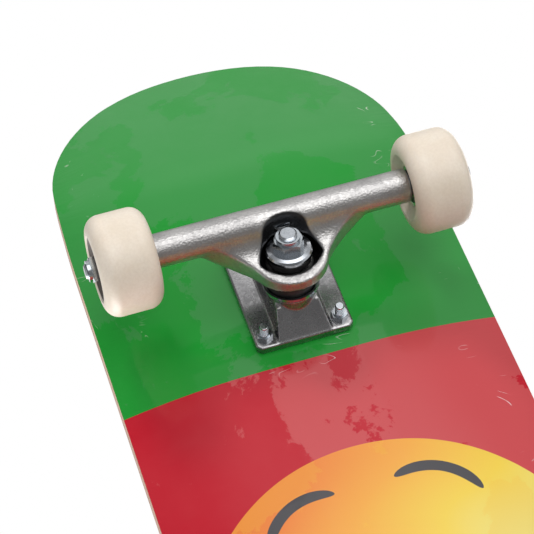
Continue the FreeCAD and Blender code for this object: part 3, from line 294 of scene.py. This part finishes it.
def film_creases_and_glints(tree, place, x, y):
    """Short creases of the film, near the deck's sides and beside the baseplates, drawn near white as a
    painted highlight.
    """
    line = noise(tree, stretched(tree, place, (60, 34, 60)), 1.0, 1.0, 0.4, 1.6)
    line = size_of(tree, calc(tree, "SUBTRACT", line, 0.5))
    line = smooth_step(tree, line, 0.004, 0.013, 1.0, 0.0)
    chosen = smooth_step(tree, noise(tree, place, 55, 2.0), 0.6, 0.68)
    side = smooth_step(tree, size_of(tree, y), 0.07, 0.086)
    near_end = smooth_step(tree, distance_from_band(tree, x, PLATE_END), 0.004, 0.014, 1.0, 0.0)
    beside = smooth_step(tree, size_of(tree, y), 0.03, 0.05, 1.0, 0.0)
    where = calc(tree, "MAXIMUM", side, product(tree, near_end, beside))
    return product(tree, product(tree, line, chosen), where)


def film_tension(tree, place, x, y):
    """Faint tension ripples of the shrink film along the deck's sides and round the baseplates."""
    along = noise(tree, stretched(tree, place, (120, 26, 60)), 1.0, 2.0, 0.5, 1.2)
    across = noise(tree, stretched(tree, place, (30, 90, 60)), 1.0, 2.0, 0.5, 1.4)
    side = smooth_step(tree, size_of(tree, y), 0.062, 0.096)
    near_middle = smooth_step(tree, distance_from_band(tree, x, PLATE_MIDDLE), 0.01, 0.06, 1.0, 0.0)
    beside = smooth_step(tree, size_of(tree, y), 0.035, 0.08, 1.0, 0.0)
    plate = product(tree, near_middle, beside)
    ripple = product(tree, along, side)
    return calc(tree, "MULTIPLY_ADD", across, product(tree, plate, 0.8), ripple)


def maple_colour(tree, place, pale, dark):
    """Straight maple grain along the board, with finer pores in it."""
    broad = noise(tree, stretched(tree, place, (5, 60, 240)), 1.0, 4.0, 0.6, 0.6)
    pores = noise(tree, stretched(tree, place, (40, 900, 900)), 1.0, 3.0, 0.6)
    grain = calc(tree, "MULTIPLY_ADD", pores, 0.5, product(tree, broad, 0.7))
    return blend_colours(tree, smooth_step(tree, grain, 0.42, 0.78), pale, dark), grain


def make_printed_face():
    material, tree, shader = new_material("printed_face_under_film")
    place = object_place(tree)
    x, y, z = split(tree, place)
    radius = hypotenuse(tree, x, y)
    ends = smooth_step(tree, size_of(tree, x), STRIPE_EDGE - PRINT_SOFT, STRIPE_EDGE + PRINT_SOFT)
    disc = smooth_step(tree, radius, DISC_RADIUS - PRINT_SOFT, DISC_RADIUS + PRINT_SOFT, 1.0, 0.0)
    clinging = film_cling(tree, place, x, y)
    # Painted reflection haze: where the film lies loose, more so towards the tips and in the paler cloud
    # patches, the print is painted paler and greyer in place of light reflected by the loose film.
    film_haze_cloud = use_group(tree, uneven, place, "Value", Scale=14.0, Low=0.0, High=1.0)
    towards_tip = smooth_step(tree, size_of(tree, x), 0.25, 0.33, 1.0, 0.4)
    faint = product(tree, clinging, towards_tip)
    green = blend_colours(tree, faint, rgb(48, 140, 62), rgb(16, 142, 42))
    green = blend_colours(tree, product(tree, film_haze_cloud, 0.3), green, rgb(56, 138, 66))
    red = blend_colours(tree, clinging, rgb(190, 68, 72), rgb(180, 14, 36))
    red = blend_colours(tree, product(tree, film_haze_cloud, 0.25), red, rgb(192, 66, 72))
    shade = calc(tree, "MULTIPLY_ADD", y, 7.0, 0.62)
    shade = calc(tree, "MULTIPLY_ADD", x, -2.2, shade)
    rim = smooth_step(tree, radius, 0.06, DISC_RADIUS, 0.0, 0.22)
    shade = calc(tree, "SUBTRACT", shade, rim)
    warm = tree.nodes.new("ShaderNodeValToRGB")
    put(tree, warm.inputs[0], shade)
    warm.color_ramp.elements[0].position = 0.0
    warm.color_ramp.elements[0].color = rgb(222, 122, 48)
    warm.color_ramp.elements[1].position = 1.0
    warm.color_ramp.elements[1].color = rgb(222, 214, 128)
    warm.color_ramp.elements.new(0.38).color = rgb(228, 158, 58)
    warm.color_ramp.elements.new(0.72).color = rgb(228, 196, 70)
    # As on the green and red, the yellow is drawn one way where the film clings and another where it lies
    # loose, with the loose film's haze painted in as colour.
    tint = product(tree, clinging, 0.25)
    yellow = blend_colours(tree, tint, warm.outputs[0], rgb(226, 176, 70))
    colour = blend_colours(tree, ends, red, green)
    colour = blend_colours(tree, disc, colour, yellow)
    strokes = product(tree, stroke_mask(tree, x, y, radius), disc)
    colour = blend_colours(tree, strokes, colour, rgb(64, 62, 66))
    facing = split(tree, tree.nodes.new("ShaderNodeNewGeometry").outputs["Normal"])[2]
    bare = smooth_step(tree, facing, -0.8, -0.62)
    wood, grain = maple_colour(tree, place, rgb(214, 182, 158), rgb(176, 136, 112))
    creases_and_glints = film_creases_and_glints(tree, place, x, y)
    # Painted highlight: the film's creases are painted near white where they catch the light.
    colour = blend_colours(tree, product(tree, creases_and_glints, 0.55), colour, rgb(235, 225, 225))
    put(tree, shader["Base Color"], blend_colours(tree, bare, colour, wood))
    film = calc(tree, "SUBTRACT", 1.0, bare)
    cover = calc(tree, "MULTIPLY_ADD", clinging, -0.2, 0.6)
    put(tree, shader["Coat Weight"], product(tree, film, cover))
    shader["Coat Roughness"].default_value = 0.07
    shader["Specular IOR Level"].default_value = 0.12
    patchy(tree, shader["Roughness"], place, 30.0, 0.38, 0.55)
    ripples = film_tension(tree, place, x, y)
    ripples = calc(tree, "MULTIPLY_ADD", clinging, -0.05, ripples)
    ripples = calc(tree, "MULTIPLY_ADD", creases_and_glints, 0.2, ripples)
    put(tree, shader["Normal"], bump(tree, ripples, 0.6 * MM, 0.5))
    return material


def make_maple(name, pale, dark):
    material, tree, shader = new_material(name)
    place = object_place(tree)
    colour, grain = maple_colour(tree, place, pale, dark)
    rubbed = use_group(tree, wear, place, "Mask", Radius=0.5 * MM, Scale=220.0)
    worn = product(tree, rubbed, 0.4)
    put(tree, shader["Base Color"], blend_colours(tree, worn, colour, pale))
    patchy(tree, shader["Roughness"], place, 90.0, 0.48, 0.68)
    put(tree, shader["Normal"], bump(tree, grain, 0.05 * MM, 0.6))
    return material


def make_metal(name, colour, dull, smooth, rough, metallic, grain_scale, grain_depth, patch=60.0):
    """Bare or plated metal: tone and roughness in patches, a fine grain, and brighter rubbed edges."""
    material, tree, shader = new_material(name)
    place = object_place(tree)
    patches = use_group(tree, uneven, place, "Value", Scale=patch, Low=0.0, High=1.0)
    rubbed = use_group(tree, wear, place, "Mask", Radius=0.4 * MM, Scale=700.0)
    grains = use_group(tree, sand, place, "Grains", Scale=grain_scale)
    dulled = calc(tree, "MULTIPLY_ADD", grains, 0.3, product(tree, patches, 0.7))
    tone = blend_colours(tree, dulled, colour, dull)
    worn = product(tree, rubbed, 0.6)
    put(tree, shader["Base Color"], blend_colours(tree, worn, tone, rgb(226, 226, 226)))
    shader["Metallic"].default_value = metallic
    gloss = calc(tree, "MULTIPLY_ADD", grains, (rough - smooth) * 0.6, smooth)
    gloss = calc(tree, "MULTIPLY_ADD", patches, (rough - smooth) * 0.4, gloss)
    put(tree, shader["Roughness"], gloss)
    height = use_group(tree, sand, place, "Height", Scale=grain_scale)
    put(tree, shader["Normal"], bump(tree, height, grain_depth, 0.6))
    return material, tree, shader


def make_threaded(name, direction, pitch, start, both_ways=False):
    """Zinc plated steel with thread ridges along direction, beyond start."""
    material, tree, shader = make_metal(
        name, rgb(206, 211, 218), rgb(176, 180, 184), 0.12, 0.24, 1.0, 1500.0, 0.008 * MM)
    place = object_place(tree)
    along = tree.nodes.new("ShaderNodeVectorMath")
    along.operation = "DOT_PRODUCT"
    put(tree, along.inputs[0], place)
    along.inputs[1].default_value = direction
    distance = along.outputs["Value"]
    if both_ways:
        distance = size_of(tree, distance)
    ridges = use_group(tree, thread, place, "Height", Along=distance, Pitch=pitch, Start=start)
    put(tree, shader["Normal"], bump(tree, ridges, 0.5 * MM, 1.0))
    return material


BOWL_REACH = 21 * MM
KINGPIN_MIDDLE = (0.2, 0.0, 0.0495)
KINGPIN_DIRECTION = (0.1392, 0.0, -0.9903)
TAIL_KINGPIN_DIRECTION = (-0.1392, 0.0, -0.9903)


def vector_math(tree, operation, first, second):
    node = tree.nodes.new("ShaderNodeVectorMath")
    node.operation = operation
    put(tree, node.inputs[0], first)
    put(tree, node.inputs[1], second)
    return node.outputs


def either_end(tree, vector, sign=None):
    """A place or a direction of the tail truck, mirrored onto the nose truck."""
    x, y, z = split(tree, vector)
    node = tree.nodes.new("ShaderNodeCombineXYZ")
    mirrored = product(tree, x, sign) if sign else size_of(tree, x)
    put(tree, node.inputs[0], mirrored)
    put(tree, node.inputs[1], y)
    put(tree, node.inputs[2], z)
    return node.outputs[0]


def make_hanger_finish():
    """Satin bar and wings round a bowl that is left dark from the mould and darkened further as painted
    shade.
    """
    material, tree, shader = make_metal(
        "satin_hanger", rgb(212, 210, 208), rgb(172, 170, 170), 0.30, 0.46, 1.0, 900.0,
        0.22 * MM, 45.0)
    place = object_place(tree)
    end = calc(tree, "SIGN", split(tree, place)[0])
    from_pin = vector_math(tree, "SUBTRACT", either_end(tree, place), KINGPIN_MIDDLE)[0]
    along = vector_math(tree, "DOT_PRODUCT", from_pin, KINGPIN_DIRECTION)["Value"]
    foot = tree.nodes.new("ShaderNodeVectorMath")
    foot.operation = "SCALE"
    foot.inputs[0].default_value = KINGPIN_DIRECTION
    put(tree, foot.inputs["Scale"], along)
    outward = vector_math(tree, "SUBTRACT", from_pin, foot.outputs[0])[0]
    reach = vector_math(tree, "LENGTH", outward, (0, 0, 0))["Value"]
    unit = vector_math(tree, "NORMALIZE", outward, (0, 0, 0))[0]
    normal = either_end(tree, tree.nodes.new("ShaderNodeNewGeometry").outputs["Normal"], end)
    inward = product(tree, vector_math(tree, "DOT_PRODUCT", normal, unit)["Value"], -1.0)
    faces_pin = smooth_step(tree, inward, 0.45, 0.8)
    in_bowl = smooth_step(tree, reach, BOWL_REACH, BOWL_REACH + 5 * MM, 1.0, 0.0)
    # The bowl wall facing the kingpin is painted near black: partly the casting's dark skin, partly
    # painted shade inside the deep bowl.
    dark = product(tree, product(tree, faces_pin, in_bowl), 0.9)
    satin = shader["Base Color"].links[0].from_socket
    put(tree, shader["Base Color"], blend_colours(tree, dark, satin, rgb(40, 40, 44)))
    return material


def make_soft(name, colour, dusty, smooth, rough, scale, depth, dust=0.5):
    """Rubber, urethane or nylon: faint patches, a moulded skin and dust caught on the edges."""
    material, tree, shader = new_material(name)
    place = object_place(tree)
    patches = use_group(tree, uneven, place, "Value", Scale=scale, Low=0.0, High=dust)
    rubbed = use_group(tree, wear, place, "Mask", Radius=0.6 * MM, Scale=300.0)
    tone = blend_colours(tree, patches, colour, dusty)
    worn = product(tree, rubbed, 0.35)
    put(tree, shader["Base Color"], blend_colours(tree, worn, tone, dusty))
    patchy(tree, shader["Roughness"], place, scale * 4, smooth, rough)
    skin = use_group(tree, sand, place, "Height", Scale=900.0)
    put(tree, shader["Normal"], bump(tree, skin, depth, 0.5))
    return material


def make_grip():
    material, tree, shader = new_material("grip_tape_grit")
    place = object_place(tree)
    grains = use_group(tree, sand, place, "Grains", Scale=1300.0)
    sparkle = smooth_step(tree, grains, 0.9, 0.98)
    patches = use_group(tree, uneven, place, "Value", Scale=9.0, Low=0.0, High=0.5)
    tone = blend_colours(tree, patches, rgb(26, 26, 27), rgb(44, 43, 42))
    put(tree, shader["Base Color"], blend_colours(tree, sparkle, tone, rgb(108, 108, 110)))
    gloss = product(tree, sparkle, 0.5)
    put(tree, shader["Roughness"], calc(tree, "SUBTRACT", 0.92, gloss))
    height = use_group(tree, sand, place, "Height", Scale=1300.0)
    put(tree, shader["Normal"], bump(tree, height, 0.25 * MM, 0.9))
    return material


AXLE_FROM_MIDDLE = 217 * MM
AXLE_HEIGHT = 26.5 * MM
RECESS_FLOOR = 82.4 * MM
RECESS_RADIUS = 16.3 * MM


def make_wheel():
    material, tree, shader = new_material("cream_urethane")
    place = object_place(tree)
    patches = use_group(tree, uneven, place, "Value", Scale=45.0, Low=0.0, High=0.8)
    specks = use_group(tree, uneven, place, "Value", Scale=700.0, Low=0.0, High=0.25)
    tone = blend_colours(tree, patches, rgb(232, 221, 206), rgb(224, 210, 192))
    tone = blend_colours(tree, specks, tone, rgb(206, 190, 170))
    x, y, z = split(tree, place)
    # Painted shade: inside the outer recess round the bearing, the urethane wall is painted near black
    # for the shade that falls there.
    level = calc(tree, "SUBTRACT", size_of(tree, x), AXLE_FROM_MIDDLE)
    rise = calc(tree, "SUBTRACT", z, AXLE_HEIGHT)
    reach = hypotenuse(tree, level, rise)
    outside = smooth_step(tree, size_of(tree, y), RECESS_FLOOR, RECESS_FLOOR + 0.4 * MM)
    inside = smooth_step(tree, reach, RECESS_RADIUS, RECESS_RADIUS + 0.6 * MM, 1.0, 0.0)
    recess_painted_shade = product(tree, outside, inside)
    tone = blend_colours(tree, product(tree, recess_painted_shade, 0.93), tone, rgb(46, 34, 31))
    put(tree, shader["Base Color"], tone)
    patchy(tree, shader["Roughness"], place, 120.0, 0.38, 0.52)
    shader["Subsurface Weight"].default_value = 0.12
    shader["Subsurface Radius"].default_value = (0.004, 0.003, 0.002)
    skin = noise(tree, place, 380, 4.0)
    put(tree, shader["Normal"], bump(tree, skin, 0.06 * MM, 0.5))
    return material


finishes = {
    "printed_face_veneer": make_printed_face(),
    "maple_veneer": make_maple("maple_ply_edge", rgb(212, 180, 156), rgb(168, 128, 104)),
    "stained_top_veneer": make_maple("stained_top_ply", rgb(178, 120, 82), rgb(120, 72, 46)),
    "grip_tape": make_grip(),
    "zinc_plated_steel": make_metal(
        "zinc_plating", rgb(208, 214, 221), rgb(180, 186, 190), 0.1, 0.2, 1.0, 1500.0, 0.006 * MM)[0],
    "cup_washer_steel": make_metal(
        "pressed_washer_steel", rgb(204, 209, 216), rgb(168, 172, 177),
        0.12, 0.22, 1.0, 1200.0, 0.008 * MM)[0],
    "baseplate_casting": make_metal(
        "tumbled_baseplate", rgb(176, 175, 176), rgb(138, 137, 139), 0.2, 0.34, 1.0, 900.0, 0.03 * MM)[0],
    "hanger_casting": make_hanger_finish(),
    "pivot_cup_urethane": make_soft(
        "pivot_cup_black", rgb(28, 28, 30), rgb(70, 68, 66), 0.45, 0.6, 120.0, 0.03 * MM),
    "bushing_rubber": make_soft(
        "black_bushing", rgb(24, 24, 26), rgb(64, 63, 62), 0.38, 0.55, 140.0, 0.03 * MM),
    "axle_steel": make_threaded(
        "axle_steel_threaded", (0.0, 1.0, 0.0), 1.0 * MM, 96 * MM, both_ways=True),
    "bearing_steel": make_metal(
        "ground_bearing_steel", rgb(205, 206, 208), rgb(168, 169, 171),
        0.1, 0.22, 1.0, 1800.0, 0.006 * MM)[0],
    "bearing_shield": make_soft(
        "black_bearing_seal", rgb(22, 22, 24), rgb(58, 57, 56), 0.4, 0.6, 160.0, 0.02 * MM),
    "cage_nylon": make_soft(
        "white_cage_nylon", rgb(206, 202, 190), rgb(176, 170, 156), 0.4, 0.55, 160.0, 0.02 * MM, 0.3),
    "wheel_urethane": make_wheel(),
}
deck_screw_finish = make_threaded("deck_screw_zinc", (0.0, 0.0, -1.0), 0.8 * MM, -76 * MM)
kingpin_finish = {
    "nose": make_threaded("nose_kingpin_zinc", KINGPIN_DIRECTION, 1.6 * MM, -5 * MM),
    "tail": make_threaded("tail_kingpin_zinc", TAIL_KINGPIN_DIRECTION, 1.6 * MM, -5 * MM),
}


def dress(piece, material):
    piece.data.materials.clear()
    piece.data.materials.append(material)


for name, node in nodes.items():
    slot_name = node.data.materials[0].name.split(".")[0]
    if name.endswith("deck_screws"):
        dress(node, deck_screw_finish)
    elif name.endswith("_kingpin"):
        dress(node, kingpin_finish[name.split("_")[0]])
    else:
        dress(node, finishes[slot_name])

# ---------------------------------------------------------------- modelled pieces


def copy_of(node_name, piece_name):
    """A piece that starts from a CAD node's shape, with its own merged mesh."""
    bpy.ops.object.select_all(action="DESELECT")
    piece = nodes[node_name].copy()
    piece.data = nodes[node_name].data.copy()
    piece.name = piece_name
    for key in [k for k in piece.keys() if k.startswith("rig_")]:
        del piece[key]
    piece.parent = None
    piece.matrix_world = Matrix.Identity(4)
    bpy.context.scene.collection.objects.link(piece)
    bpy.context.view_layer.objects.active = piece
    piece.select_set(True)
    bpy.ops.object.mode_set(mode="EDIT")
    bpy.ops.mesh.select_all(action="SELECT")
    bpy.ops.mesh.remove_doubles(threshold=0.001 * MM)
    bpy.ops.mesh.customdata_custom_splitnormals_clear()
    bpy.ops.object.mode_set(mode="OBJECT")
    return piece


def apply(piece, kind, **settings):
    modifier = piece.modifiers.new(kind.title(), kind)
    for label, value in settings.items():
        setattr(modifier, label, value)
    bpy.ops.object.modifier_apply(modifier=modifier.name)


def settle(piece, node_name, slot_name, body):
    """Puts a finished piece in the place of its CAD node, on the body that carries it."""
    dress(piece, finishes[slot_name])
    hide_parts(node_name)
    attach(piece, body)
    piece.select_set(False)


def cast_piece(node_name, piece_name, grid, passes):
    """A sand cast part: its corners run together as molten metal leaves them."""
    piece = copy_of(node_name, piece_name)
    apply(piece, "REMESH", mode="VOXEL", voxel_size=grid, adaptivity=0.0)
    apply(piece, "SMOOTH", factor=0.5, iterations=passes)
    bpy.ops.object.shade_smooth()
    return piece


KICK_FROM_MIDDLE = 0.28
RIM_FROM_MIDDLE = 0.06


def rounded_sheet(node_name, piece_name, outward):
    """An outer veneer with the deck's routed round edge on the side that faces outward."""
    piece = copy_of(node_name, piece_name)
    mesh = piece.data
    faces_at = {}
    for face in mesh.polygons:
        for key in face.edge_keys:
            faces_at.setdefault(key, []).append(face.normal.z * outward)
    for vertex in mesh.vertices:
        vertex.select = False
    for face in mesh.polygons:
        face.select = False
    for edge in mesh.edges:
        tilts = sorted(faces_at[edge.key])
        middle = (mesh.vertices[edge.vertices[0]].co + mesh.vertices[edge.vertices[1]].co) / 2
        at_rim = abs(middle.x) > KICK_FROM_MIDDLE or abs(middle.y) > RIM_FROM_MIDDLE
        edge.select = at_rim and tilts[0] < 0.5 and tilts[-1] > 0.7
    bpy.ops.object.mode_set(mode="EDIT")
    bpy.ops.mesh.select_mode(type="EDGE")
    bpy.ops.mesh.bevel(offset=1.3 * MM, segments=4, affect="EDGES", clamp_overlap=True)
    bpy.ops.object.mode_set(mode="OBJECT")
    bpy.ops.object.shade_smooth_by_angle(angle=math.radians(40))
    return piece


sheet = rounded_sheet("deck_ply_1", "printed_face_sheet", -1)
settle(sheet, "deck_ply_1", "printed_face_veneer", "deck")
sheet = rounded_sheet("deck_ply_7", "stained_top_sheet", 1)
settle(sheet, "deck_ply_7", "stained_top_veneer", "deck")
for end in ("nose", "tail"):
    casting = cast_piece(f"{end}_hanger", f"{end}_hanger_cast", 0.9 * MM, 9)
    settle(casting, f"{end}_hanger", "hanger_casting", f"{end}_truck")
    casting = cast_piece(f"{end}_baseplate", f"{end}_baseplate_cast", 0.6 * MM, 5)
    settle(casting, f"{end}_baseplate", "baseplate_casting", "deck")

# ---------------------------------------------------------------- floor, light and camera


def make_floor():
    """A pale floor that the board stands on, seen only from above."""
    bpy.ops.object.select_all(action="DESELECT")
    bpy.ops.mesh.primitive_plane_add(size=8.0, location=(0, 0, cad_low.z))
    floor = bpy.context.object
    floor.name = "pale_floor"
    material, tree, shader = new_material("pale_floor")
    place = object_place(tree)
    tone = use_group(tree, uneven, place, "Value", Scale=6.0, Low=0.0, High=1.0)
    colour = blend_colours(tree, tone, rgb(232, 232, 232), rgb(228, 228, 229))
    put(tree, shader["Base Color"], colour)
    patchy(tree, shader["Roughness"], place, 40.0, 0.7, 0.85)
    clear = tree.nodes.new("ShaderNodeBsdfTransparent")
    side = tree.nodes.new("ShaderNodeMixShader")
    put(tree, side.inputs[0], tree.nodes.new("ShaderNodeNewGeometry").outputs["Backfacing"])
    put(tree, side.inputs[1], tree.nodes["Principled BSDF"].outputs[0])
    put(tree, side.inputs[2], clear.outputs[0])
    put(tree, tree.nodes["Material Output"].inputs["Surface"], side.outputs[0])
    dress(floor, material)
    floor.visible_shadow = False
    floor.visible_diffuse = False
    floor.visible_glossy = False
    floor.visible_transmission = False


def soft_light(name, place, aim, size, power, mirrored=True):
    light = bpy.data.lights.new(name, "AREA")
    light.shape = "DISK"
    light.size = size
    light.energy = power
    lamp = bpy.data.objects.new(name, light)
    lamp.location = place
    lamp.rotation_mode = "QUATERNION"
    lamp.rotation_quaternion = (Vector(aim) - Vector(place)).to_track_quat("-Z", "Y")
    lamp.visible_glossy = mirrored
    bpy.context.scene.collection.objects.link(lamp)


ROOM_LEVEL = 0.22
PANELS = (
    ((0.03, 0.18, -0.98), 0.81, 0.96, 2.1),
    ((0.60, 0.30, -0.74), 0.80, 0.96, 0.35),
    ((0.97, 0.15, -0.2), 0.80, 0.97, 0.45),
    ((-0.25, 0.95, -0.2), 0.72, 0.95, 0.5),
    ((0.1, -0.97, -0.25), 0.80, 0.96, 0.3),
    ((-0.2, -0.3, 0.93), 0.35, 0.95, 1.1),
)


def make_world():
    """A room with soft panels of light; each has a direction, two cosines for its edge and a level."""
    world = bpy.data.worlds.new("white_studio")
    bpy.context.scene.world = world
    world.use_nodes = True
    tree = world.node_tree
    sky = tree.nodes["Background"]
    sky.inputs["Color"].default_value = (1, 1, 1, 1)
    direction = tree.nodes.new("ShaderNodeTexCoord").outputs["Generated"]
    glow = ROOM_LEVEL
    for toward, wide, narrow, level in PANELS:
        facing = tree.nodes.new("ShaderNodeVectorMath")
        facing.operation = "DOT_PRODUCT"
        put(tree, facing.inputs[0], direction)
        facing.inputs[1].default_value = Vector(toward).normalized()
        panel = smooth_step(tree, facing.outputs["Value"], wide, narrow, 0.0, level)
        glow = calc(tree, "ADD", panel, glow)
    seen = tree.nodes.new("ShaderNodeLightPath").outputs["Is Camera Ray"]
    put(tree, sky.inputs["Strength"], calc(tree, "MAXIMUM", glow, seen))


make_floor()
make_world()
board = (0.25, 0.0, 0.06)
soft_light("under_key", (1.1, -0.25, -0.85), board, 0.28, 5.0, mirrored=False)
soft_light("under_fill", (-0.5, -0.1, -1.0), board, 0.8, 3.4, mirrored=False)
soft_light("over_key", (-0.7, -0.9, 1.5), (0, 0, 0), 1.2, 34)
soft_light("over_fill", (0.9, 0.8, 1.2), (0, 0, 0), 1.4, 16)

camera_data = bpy.data.cameras.new("camera")
camera_data.lens = 138.0
camera_data.sensor_width = 36.0
camera_data.clip_start = 0.05
camera_data.clip_end = 20
camera = bpy.data.objects.new("camera", camera_data)
right = Vector((-0.3093, 0.9509, 0.0101))
up = Vector((0.7667, 0.2556, -0.5889))
back = Vector((-0.5625, -0.1744, -0.8082))
turned = Matrix((right, up, back)).transposed().to_4x4()
camera.matrix_world = Matrix.Translation((-0.3888, -0.1951, -0.8067)) @ turned
bpy.context.scene.collection.objects.link(camera)
bpy.context.scene.camera = camera
bpy.context.scene.view_settings.view_transform = "Standard"
